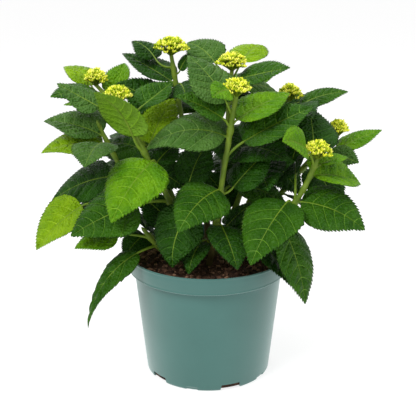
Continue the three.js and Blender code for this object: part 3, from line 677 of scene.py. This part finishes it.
def build_blade(heap, leaf):
    """Adds a leaf's blade: a closed sheet with a toothed margin, sunken veins and raised panels."""
    rows, is_vein = vein_rows()
    v, s, w = blade_grid(leaf, rows, is_vein)
    upper = upper_side(leaf, v, s, w)
    cut_teeth(upper, rows, math.sqrt(leaf.length / FULL_LENGTH))

    # The underside shares the margin, so the blade is closed.
    normal = unit_rows(np.cross(np.gradient(upper, axis=1), np.gradient(upper, axis=0)))
    lower = upper - normal * BLADE_THICKNESS
    inside = np.zeros(s.shape, bool)
    inside[1:-1, 1:-1] = True
    above = np.arange(s.size).reshape(s.shape)
    below = above.copy()
    below[inside] = s.size + np.arange(inside.sum())

    faces, paints = [], []
    for r in range(s.shape[0] - 1):
        for c in range(s.shape[1] - 1):
            vein = is_vein[r] or c == s.shape[1] // 2 - 1
            corners = [(r, c), (r, c + 1), (r + 1, c + 1), (r + 1, c)]
            faces.append([above[q] for q in corners])
            paints.append(VEIN if vein else UPPER)
            faces.append([below[q] for q in reversed(corners)])
            paints.append(VEIN if vein else UNDER)
    heap.add(np.vstack([upper.reshape(-1, 3), lower[inside]]), faces, paints)


PETIOLE_RINGS = 10
PETIOLE_SIDES = 8
PETIOLE_RIBS = 0.06
PETIOLE_HEEL = (1.5, 1.15)  # how much thicker its first two rings are
FULL_PETIOLE_LENGTH = 90.0  # a blade shorter than this has a thinner petiole
RIDGE_PLACES = (0.03, 0.08, 0.15, 0.25, 0.38, 0.52, 0.66, 0.8, 0.93)
RIDGE_RADIUS = (1.5, 0.25)  # under the blade's base and under its tip
RIDGE_SINK = 0.55  # how far the ridge's middle lies below the blade, as a share of its radius


def build_petiole(heap, leaf):
    """Adds the petiole and, going on under the blade, the ridge of the midrib."""
    t = np.linspace(0, 1, PETIOLE_RINGS)
    radii = PETIOLE_RADIUS[0] + (PETIOLE_RADIUS[1] - PETIOLE_RADIUS[0]) * t
    radii = radii * min(1, math.sqrt(leaf.length / FULL_PETIOLE_LENGTH))
    radii[:2] *= PETIOLE_HEEL
    s = np.array(RIDGE_PLACES)
    ridge = RIDGE_RADIUS[0] + (RIDGE_RADIUS[1] - RIDGE_RADIUS[0]) * s
    under = leaf.blade(s, np.zeros_like(s), -ridge * RIDGE_SINK)
    centres = np.vstack([leaf.petiole(t), under])
    tube(heap, centres, np.concatenate([radii, ridge]), PETIOLE_SIDES, ribs=PETIOLE_RIBS)


# ---- Shoots and heads -------------------------------------------------------------------------------------

SHOOT_RINGS = 90
SHOOT_SIDES = 16
SHOOT_RIBS = 0.05
SHOOT_ROOT = 4.0  # how far a shoot's foot stands in the peat
NODE_SWELL = 0.32  # how much thicker it is where leaves join it
NODE_LENGTH = 6.0
WOODY = 0.22  # share of a shoot, from its foot, that is a little woody
GREEN, BROWN = 0, 1


def build_shoot(heap, name, places):
    """Adds a ribbed shoot with a swollen joint at each pair of leaves."""
    t = np.linspace(0, 1, SHOOT_RINGS)
    centres = bezier(shoot_points(name), t)
    length = np.linalg.norm(np.diff(centres, axis=0), axis=1).sum()
    radii = STEM_RADIUS[0] + (STEM_RADIUS[1] - STEM_RADIUS[0]) * t
    for place in places:
        radii = radii * (1 + NODE_SWELL * np.exp(-(((t - place) * length / NODE_LENGTH) ** 2)))
    centres = np.vstack([centres[0] - UP * SHOOT_ROOT, centres])
    radii = np.concatenate([radii[:1], radii])
    split = int(WOODY * SHOOT_RINGS)
    tube(heap, centres[: split + 1], radii[: split + 1], SHOOT_SIDES, BROWN, ribs=SHOOT_RIBS)
    tube(heap, centres[split:], radii[split:], SHOOT_SIDES, GREEN, ribs=SHOOT_RIBS)


BUD_SIDES = 5
BUD_RADIUS = 1.15
BUD_LENGTH = 4.2  # in bud radii
BUD_PLACES = np.array([0.0, 0.35, 0.75, 1.0])  # along a bud,
BUD_PROFILE = np.array([0.5, 1.0, 0.8, 0.15])  # and its width there
BUD_TONES = 3
BUD_STALK = 3  # the stalks' material comes after the buds' tones
CLUMPS_PER_WIDTH = 1.7  # clumps of buds for each millimetre of a head's width
CLUMP_RADIUS = 2.9
CLUMP_SPREAD = 0.28  # how far a clump's outer buds lean away from its middle
BUDS_PER_CLUMP = 6
HEAD_INSET = 2.0  # how far inside the head's edge the outermost clumps stand
CLUMP_STALK = (0.9, 0.5)  # radii at the foot and at the top
DOME_TOP = 8.0  # how far a head's middle stands over the height that the rule gives it
DOME_FALL = 15.0  # and how far its rim falls below that
DOME_ROUND = 2.2
DOME_STRAY = 3.5
GOLDEN_ANGLE = math.pi * (3 - math.sqrt(5))


def build_clump(heap, centre, away, key):
    """Adds a clump of pointed buds that spread from one centre."""
    for b in range(BUDS_PER_CLUMP):
        spin = b * GOLDEN_ANGLE + 6 * chance(key + 0.7)
        spread = math.sqrt(b / BUDS_PER_CLUMP)
        shift = np.array([math.cos(spin), math.sin(spin), 0.0]) * spread * CLUMP_RADIUS
        outwards = away + shift * CLUMP_SPREAD
        outwards /= np.linalg.norm(outwards)
        radius = BUD_RADIUS * (0.75 + 0.45 * chance(key + 0.1 * b))
        base = centre + shift - outwards * (0.4 + 1.2 * spread)
        points = base + outwards * (BUD_PLACES * radius * BUD_LENGTH)[:, None]
        paint = int(BUD_TONES * chance(key + 0.05 + 0.1 * b))
        tube(heap, points, BUD_PROFILE * radius, BUD_SIDES, paint)


def build_head(heap, name, seed):
    """Adds a flat, uneven head: clumps of buds on stalks that spread from the shoot's tip."""
    shoot = SHOOTS[name]
    tip = np.array(shoot["tip"], float)
    count = int(shoot["head"] * CLUMPS_PER_WIDTH)
    for k in range(count):
        key = 100 * seed + k
        out = math.sqrt((k + 0.5) / count) * (0.86 + 0.2 * chance(key))
        radius = out * (shoot["head"] / 2 - HEAD_INSET)
        top = HEAD_RISE + DOME_TOP - DOME_FALL * out**DOME_ROUND + DOME_STRAY * (chance(key + 0.4) - 0.5)
        turn = k * GOLDEN_ANGLE
        centre = tip + np.array([radius * math.cos(turn), radius * math.sin(turn), top])
        bend = tip + UP * 5 + (centre - tip) * (0.45, 0.45, 0)
        stalk = bezier((tip - UP * 3, bend, centre), np.linspace(0, 1, 4))
        tube(heap, stalk, np.linspace(*CLUMP_STALK, 4), 4, BUD_STALK)
        away = centre - tip + UP * HEAD_RISE
        build_clump(heap, centre, away / np.linalg.norm(away), key)


TIP_BUD_RADIUS = 3.4
TIP_BUD_LENGTH = 13.0
TIP_BUD_SINK = 2.0  # how far it starts below the shoot's tip
TIP_BUD_FLAT = 0.75


def build_tip_bud(heap, name):
    """Adds the young leaves that still stand closed, as a pointed bud, on a shoot with no head."""
    end = bezier(shoot_points(name), [0.98, 1.0])
    along = end[1] - end[0]
    along /= np.linalg.norm(along)
    t = np.linspace(0, 1, 8)
    centres = end[1] + along * (t * TIP_BUD_LENGTH - TIP_BUD_SINK)[:, None]
    radii = TIP_BUD_RADIUS * np.sin(math.pi * (0.25 + 0.75 * t)) ** 0.8 + 0.15
    tube(heap, centres, radii, 10, GREEN, ribs=0.1, flat=TIP_BUD_FLAT)


# ---- Pot and peat -----------------------------------------------------------------------------------------

RIM_RADIUS = 115.0
RIM_DEPTH = 24.5  # height of the band round the mouth
RIM_TAPER = 3.0  # the band is this much narrower at its lower edge
BODY_FOOT_RADIUS = 88.8
BODY_FLARE = 0.107  # radius gained per millimetre of height
WALL = 2.0
FLOOR = 2.5
POT_SIDES = 240
SHARP_EDGE = 40  # degrees
NOTCHES = 5  # drain notches round the foot
NOTCH_WIDTH = (31, 27)  # at the ground and at the top
NOTCH_HEIGHT = 9.0
NOTCH_BITE = 12.0  # how far each one reaches in from the foot's edge
FIRST_NOTCH = -51 - 90
FIRST_RECESS = -14.6 - 90
RECESS_WIDTH = 17.0
RECESS_HEIGHT = 5.5
RECESS_DEPTH = 1.6
RECESS_EDGE = 1.2
RECESS_INNER = 84.0  # the pot's inside, within this radius, has no recesses

BAND = POT_HEIGHT - RIM_DEPTH  # height of the band's lower edge
BAND_RADIUS = RIM_RADIUS - RIM_TAPER
FOOT_PROFILE = ((85.4, 0.0), (86.3, 0.15), (87.4, 0.6), (88.3, 1.3), (88.9, 2.2))
BODY_HEIGHTS = (*np.arange(3, 12, 1.0), *np.linspace(13, BAND - 3, 24))
SIDE_SHARES = (0.16, 0.35, 0.6, 0.85)  # places up the band
LIP_PROFILE = ((114.5, 175.2), (115.0, 176.0), (115.0, 177.2), (114.7, 177.8), (114.1, 178.0), (113.2, 178.0))
INNER_HEIGHTS = (BAND - 3, 100, 50, 8, FLOOR + 1)
BOTTOM_RING = 40.0


def body_radius(z):
    """The body's outer radius at a height."""
    return BODY_FOOT_RADIUS + BODY_FLARE * z


def pot_profile():
    """The pot's outline from the middle of its underside, over the lip, to the middle of its floor."""
    neck = body_radius(BAND)
    fillet = [(neck + 0.1, BAND - 1.2), (neck + 0.8, BAND - 0.25)]
    shelf = [(BAND_RADIUS - 1.6, BAND - 0.1), (BAND_RADIUS - 0.3, BAND + 0.1)]
    edge = [(BAND_RADIUS + out, BAND + up) for out, up in ((0.45, 0.8), (0.55, 1.8), (0.2, 2.8))]
    mouth = [(112.8, 177.6), (112.5, 176.6), (110.3, BAND + 4), (109.6, BAND + WALL), (103.4, BAND + 0.3)]
    return [
        (0, 0),
        (BOTTOM_RING, 0.0),
        *FOOT_PROFILE,
        *[(body_radius(z), z) for z in BODY_HEIGHTS],
        *fillet,
        *shelf,
        *edge,
        *[(BAND_RADIUS + RIM_TAPER * k, BAND + RIM_DEPTH * k) for k in SIDE_SHARES],
        *LIP_PROFILE,
        *mouth,
        *[(body_radius(z) - WALL, z) for z in INNER_HEIGHTS],
        (body_radius(FLOOR) - WALL - 1.2, FLOOR),
        (BOTTOM_RING, FLOOR),
        (0, FLOOR),
    ]


def press_recesses(points):
    """Shallow recesses in the foot, between the notches."""
    turn = np.degrees(np.arctan2(points[:, 1], points[:, 0]))
    radius = np.hypot(points[:, 0], points[:, 1])
    for k in range(NOTCHES):
        off = (turn - FIRST_RECESS - k * 360 / NOTCHES + 180) % 360 - 180
        near = np.clip((RECESS_WIDTH / 2 - np.abs(np.radians(off)) * radius) / RECESS_EDGE, 0, 1)
        low = np.clip((RECESS_HEIGHT - points[:, 2]) / RECESS_EDGE, 0, 1) * (radius > RECESS_INNER)
        pull = 1 - RECESS_DEPTH * near * low / np.maximum(radius, 1)
        points[:, :2] *= pull[:, None]


def notch_corners(turn):
    """Corners of a wedge that takes a drain notch out of the foot at a turn in radians."""
    corners = []
    for x in (BODY_FOOT_RADIUS - NOTCH_BITE, BODY_FOOT_RADIUS + NOTCH_BITE):
        for side, z in ((-1, -1), (1, -1), (1, NOTCH_HEIGHT), (-1, NOTCH_HEIGHT)):
            y = side * NOTCH_WIDTH[0 if z < 0 else 1] / 2
            across, along = x * math.cos(turn) - y * math.sin(turn), x * math.sin(turn) + y * math.cos(turn)
            corners.append((across, along, z))
    return corners


def cut_notches(pot):
    """Takes the drain notches out of the foot."""
    heap = Heap()
    for k in range(NOTCHES):
        faces = [(0, 3, 2, 1), (4, 5, 6, 7), (0, 1, 5, 4), (1, 2, 6, 5), (2, 3, 7, 6), (3, 0, 4, 7)]
        heap.add(notch_corners(math.radians(FIRST_NOTCH + k * 360 / NOTCHES)), faces)
    cutter = heap.build("notch-cutter", [], smooth=False)
    cut = pot.modifiers.new("notches", "BOOLEAN")
    cut.operation = "DIFFERENCE"
    cut.solver = "EXACT"
    cut.object = cutter
    keep_shape(pot)
    bpy.data.objects.remove(cutter)


def keep_shape(piece):
    """Applies a piece's modifiers."""
    shown = piece.evaluated_get(bpy.context.evaluated_depsgraph_get())
    mesh = bpy.data.meshes.new_from_object(shown)
    piece.modifiers.clear()
    piece.data = mesh


def build_pot(material):
    """The pot with its lip, band, drain notches and recesses."""
    points, faces = lathe(pot_profile(), POT_SIDES)
    press_recesses(points)
    heap = Heap()
    heap.add(points, faces)
    pot = heap.build("grow-pot", [material])
    cut_notches(pot)
    pot.data.polygons.foreach_set("use_smooth", [True] * len(pot.data.polygons))
    pot.data.set_sharp_from_angle(angle=math.radians(SHARP_EDGE))
    return pot


PEAT_TOP = 166.6
PEAT_SIDES = 180
PEAT_RINGS = 60
PEAT_FOOT = 3.2
PEAT_CLEAR = 0.5  # between the peat and the pot's wall
PEAT_EDGE = 109.6  # radius of its top
PEAT_EDGE_DROP = 2.6
PEAT_LEVEL_RADIUS = 68.0
PEAT_CALM_EDGE = 12.0  # its lumps grow flat over this width at the wall
LUMPS = (0.11, 1.7)  # small lumps: how many there are per millimetre, and how high they are
SWELLS = (0.035, 1.6)  # and broad ones

CRUMBS = 1100
CRUMB_REACH = 104.0
CRUMB_SIZE = (1.0, 3.2)  # the smallest, and what the largest has on top of that


def peat_height(x, y):
    """Height of the peat's rough surface."""
    radius = math.hypot(x, y)
    small = noise.fractal(Vector((x, y, 0)) * LUMPS[0], 0.9, 2.1, 5) * LUMPS[1]
    broad = noise.noise(Vector((x, y, 7)) * SWELLS[0]) * SWELLS[1]
    slope = min(1, max(0, (radius - PEAT_LEVEL_RADIUS) / 42)) ** 1.5
    calm = min(1, max(0.2, (112 - radius) / PEAT_CALM_EDGE))
    return PEAT_TOP - PEAT_EDGE_DROP * slope + (small + broad) * calm


def build_peat(materials):
    """The peat that fills the pot."""
    wall = [(body_radius(z) - WALL - PEAT_CLEAR, z) for z in (PEAT_FOOT, 50, 100, BAND)]
    edge = [(109.3, BAND + 2.5), (110.4, 162.5)]
    top = [(r, PEAT_TOP) for r in np.linspace(PEAT_EDGE, 1.5, PEAT_RINGS)]
    points, faces = lathe([(0, PEAT_FOOT), *wall, *edge, *top, (0, PEAT_TOP)], PEAT_SIDES)
    on_top = points[:, 2] == PEAT_TOP
    points[on_top, 2] = [peat_height(x, y) for x, y in points[on_top, :2]]
    heap = Heap()
    heap.add(points, faces)
    return heap.build("peat", materials)


def build_crumbs(materials):
    """Loose crumbs that lie on the peat."""
    ball = bmesh.new()
    bmesh.ops.create_icosphere(ball, subdivisions=1, radius=1)
    unit = np.array([v.co for v in ball.verts])
    faces = [[v.index for v in f.verts] for f in ball.faces]
    ball.free()
    heap = Heap()
    for k in range(CRUMBS):
        out = CRUMB_REACH * math.sqrt(chance(k + 0.11))
        turn = 2 * math.pi * chance(k + 0.37)
        x, y = out * math.cos(turn), out * math.sin(turn)
        size = CRUMB_SIZE[0] + CRUMB_SIZE[1] * chance(k + 0.53) ** 3
        bumps = np.array([1 + 0.5 * (chance(31 * k + i) - 0.5) for i in range(len(unit))])
        stretch = np.array([1 + 0.8 * chance(k + 0.71), 1, 0.7])
        spin = 2 * math.pi * chance(k + 0.83)
        cos, sin = math.cos(spin), math.sin(spin)
        lump = unit * bumps[:, None] * stretch * size @ np.array([[cos, sin, 0], [-sin, cos, 0], [0, 0, 1]])
        paint = int(len(materials) * chance(k + 0.91))
        heap.add(lump + (x, y, peat_height(x, y) + 0.2 * size), faces, paint)
    return heap.build("peat-crumbs", materials, smooth=False)


# ---- The object -------------------------------------------------------------------------------------------

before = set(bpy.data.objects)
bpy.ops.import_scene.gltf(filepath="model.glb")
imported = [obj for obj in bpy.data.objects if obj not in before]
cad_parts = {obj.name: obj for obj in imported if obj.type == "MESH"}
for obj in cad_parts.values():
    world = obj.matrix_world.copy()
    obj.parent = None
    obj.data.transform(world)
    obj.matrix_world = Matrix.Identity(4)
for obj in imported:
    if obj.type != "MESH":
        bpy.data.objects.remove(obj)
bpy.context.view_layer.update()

leaves = grow_leaves()
shoot_nodes = [f"stem-{name}" for name in SHOOTS]
foliage_nodes = [f"foliage-{name}" for name in SHOOTS]
pieces = []

for colour in LEAF_COLOURS:
    chosen = [leaf for leaf in leaves if leaf.colour == colour]
    materials = leaf_materials(colour)
    for start in range(0, len(chosen), LEAVES_PER_PIECE):
        heap = Heap()
        some = chosen[start : start + LEAVES_PER_PIECE]
        for leaf in some:
            build_blade(heap, leaf)
        piece = heap.build(f"leaves-{colour}-{start // LEAVES_PER_PIECE + 1}", materials)
        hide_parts(*sorted({f"foliage-{leaf.shoot}" for leaf in some}))
        pieces.append(piece)

stalk_green = surface("stalk-green", (84, 112, 18), (106, 132, 30), 60, 0.48, FINE_GRAIN, 0.25)
shoot_green = surface("shoot-green", (78, 104, 18), (104, 126, 32), 70, 0.5, FINE_GRAIN, 0.25)
shoot_woody = surface("shoot-woody", (66, 58, 28), (92, 84, 42), 70, 0.7, FINE_GRAIN, 0.2)

heap = Heap()
for leaf in leaves:
    build_petiole(heap, leaf)
petioles = heap.build("leaf-stalks", [stalk_green])
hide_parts(*foliage_nodes)

heap = Heap()
for name in SHOOTS:
    build_shoot(heap, name, sorted({leaf.place for leaf in leaves if leaf.shoot == name}))
    if not SHOOTS[name]["head"]:
        build_tip_bud(heap, name)
shoots = heap.build("shoots", [shoot_green, shoot_woody])
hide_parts(*shoot_nodes)

# The bud tones run from the buds' own yellow to green, and also paint light and shade: the light end of the
# yellow is a painted highlight and the green partly paints the shade between the buds. They fall on the buds
# at random.
bud_materials = [
    surface("bud-yellow", (234, 234, 76), (246, 244, 120), 300, 0.5, None, 0.2),
    surface("bud-lime", (206, 214, 34), (224, 228, 62), 300, 0.5, None, 0.2),
    surface("bud-green", (134, 158, 12), (158, 180, 26), 300, 0.5, None, 0.2),
    surface("bud-stalk", (92, 116, 16), (110, 132, 26), 200, 0.55, None, 0.2),
]
heap = Heap()
for seed, name in enumerate(SHOOTS):
    if SHOOTS[name]["head"]:
        build_head(heap, name, seed + 1)
buds = heap.build("flower-buds", bud_materials)
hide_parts(*[f"foliage-{name}" for name in SHOOTS if SHOOTS[name]["head"]])

pot_plastic = surface("pot-plastic", (46, 95, 88), (51, 100, 93), 14, 0.42, MOULD_GRAIN)
pot_shader = pot_plastic.node_tree.nodes["Principled BSDF"]
pot_shader.inputs["Sheen Weight"].default_value = 0.7
pot_shader.inputs["Sheen Roughness"].default_value = 0.45
pot_shader.inputs["Sheen Tint"].default_value = (0.86, 1.0, 0.99, 1)
pot = build_pot(pot_plastic)
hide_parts("pot")

peat_dark = surface("peat-dark", (34, 23, 17), (80, 56, 42), 120, 0.95, PEAT_GRAIN, 0.15)
peat_mid = surface("peat-mid", (66, 46, 35), (98, 70, 54), 200, 0.95, None, 0.15)
peat_light = surface("peat-light", (108, 80, 62), (146, 112, 88), 200, 0.95, None, 0.15)
peat = build_peat([peat_dark])
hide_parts("soil")
crumbs = build_crumbs([peat_dark, peat_mid, peat_light])
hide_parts("soil")

for piece in [*pieces, petioles, shoots, buds, pot, peat, crumbs]:
    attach(piece, "root")

# ---- Floor, light and camera ------------------------------------------------------------------------------

STAGE_REACH = 80.0  # metres, so that the floor fills low views too
STAGE_DROP = 0.0004  # how far it lies below the pot
FLOOR_GREY = 0.3
FLOOR_GLOW = 0.78
WORLD_GLOW = 0.62

floor_material, _, floor_shader = new_material("studio-floor", 0.9, 0.1)
floor_shader.inputs["Base Color"].default_value = (FLOOR_GREY, FLOOR_GREY, FLOOR_GREY, 1)
floor_shader.inputs["Emission Color"].default_value = (1, 1, 1, 1)
floor_shader.inputs["Emission Strength"].default_value = FLOOR_GLOW
floor_mesh = bpy.data.meshes.new("studio-floor")
floor_corners = [(x * STAGE_REACH, y * STAGE_REACH, 0) for x, y in ((-1, -1), (1, -1), (1, 1), (-1, 1))]
floor_mesh.from_pydata(floor_corners, [], [(0, 1, 2, 3)])
floor_mesh.materials.append(floor_material)
floor = bpy.data.objects.new("studio-floor", floor_mesh)
bpy.context.scene.collection.objects.link(floor)
floor.location.z = -STAGE_DROP

world = bpy.data.worlds.new("studio")
bpy.context.scene.world = world
world.use_nodes = True
world.node_tree.nodes["Background"].inputs["Color"].default_value = (1, 1, 1, 1)
world.node_tree.nodes["Background"].inputs["Strength"].default_value = WORLD_GLOW


def soft_light(name, place, aim, size, power):
    """A round soft light that shines from a place to its aim, in metres and watts."""
    light = bpy.data.lights.new(name, "AREA")
    light.shape = "DISK"
    light.size = size
    light.energy = power
    lamp = bpy.data.objects.new(name, light)
    lamp.location = place
    lamp.rotation_euler = (Vector(aim) - Vector(place)).to_track_quat("-Z", "Y").to_euler()
    bpy.context.scene.collection.objects.link(lamp)


soft_light("key", (-1.1, -1.3, 2.0), (0, 0, 0.3), 1.2, 46)
soft_light("fill", (1.5, -1.2, 1.1), (0, 0, 0.25), 1.4, 11)
soft_light("top", (0.1, 0.4, 2.4), (0, 0, 0.3), 1.6, 20)
soft_light("rear", (-0.5, 1.9, 1.3), (0, 0, 0.25), 1.4, 6)

CAMERA_PLACE = (0.0, -1.2, 0.617)
CAMERA_PITCH = 17.45  # degrees below the level
CAMERA_FOCUS = 895 / 416  # focal length as a share of the picture's width
SENSOR = 36.0
camera = bpy.data.cameras.new("camera")
camera.sensor_width = SENSOR
camera.lens = SENSOR * CAMERA_FOCUS
viewer = bpy.data.objects.new("camera", camera)
viewer.location = CAMERA_PLACE
viewer.rotation_euler = (math.radians(90 - CAMERA_PITCH), 0, 0)
bpy.context.scene.collection.objects.link(viewer)
bpy.context.scene.camera = viewer
bpy.context.scene.view_settings.view_transform = "Standard"
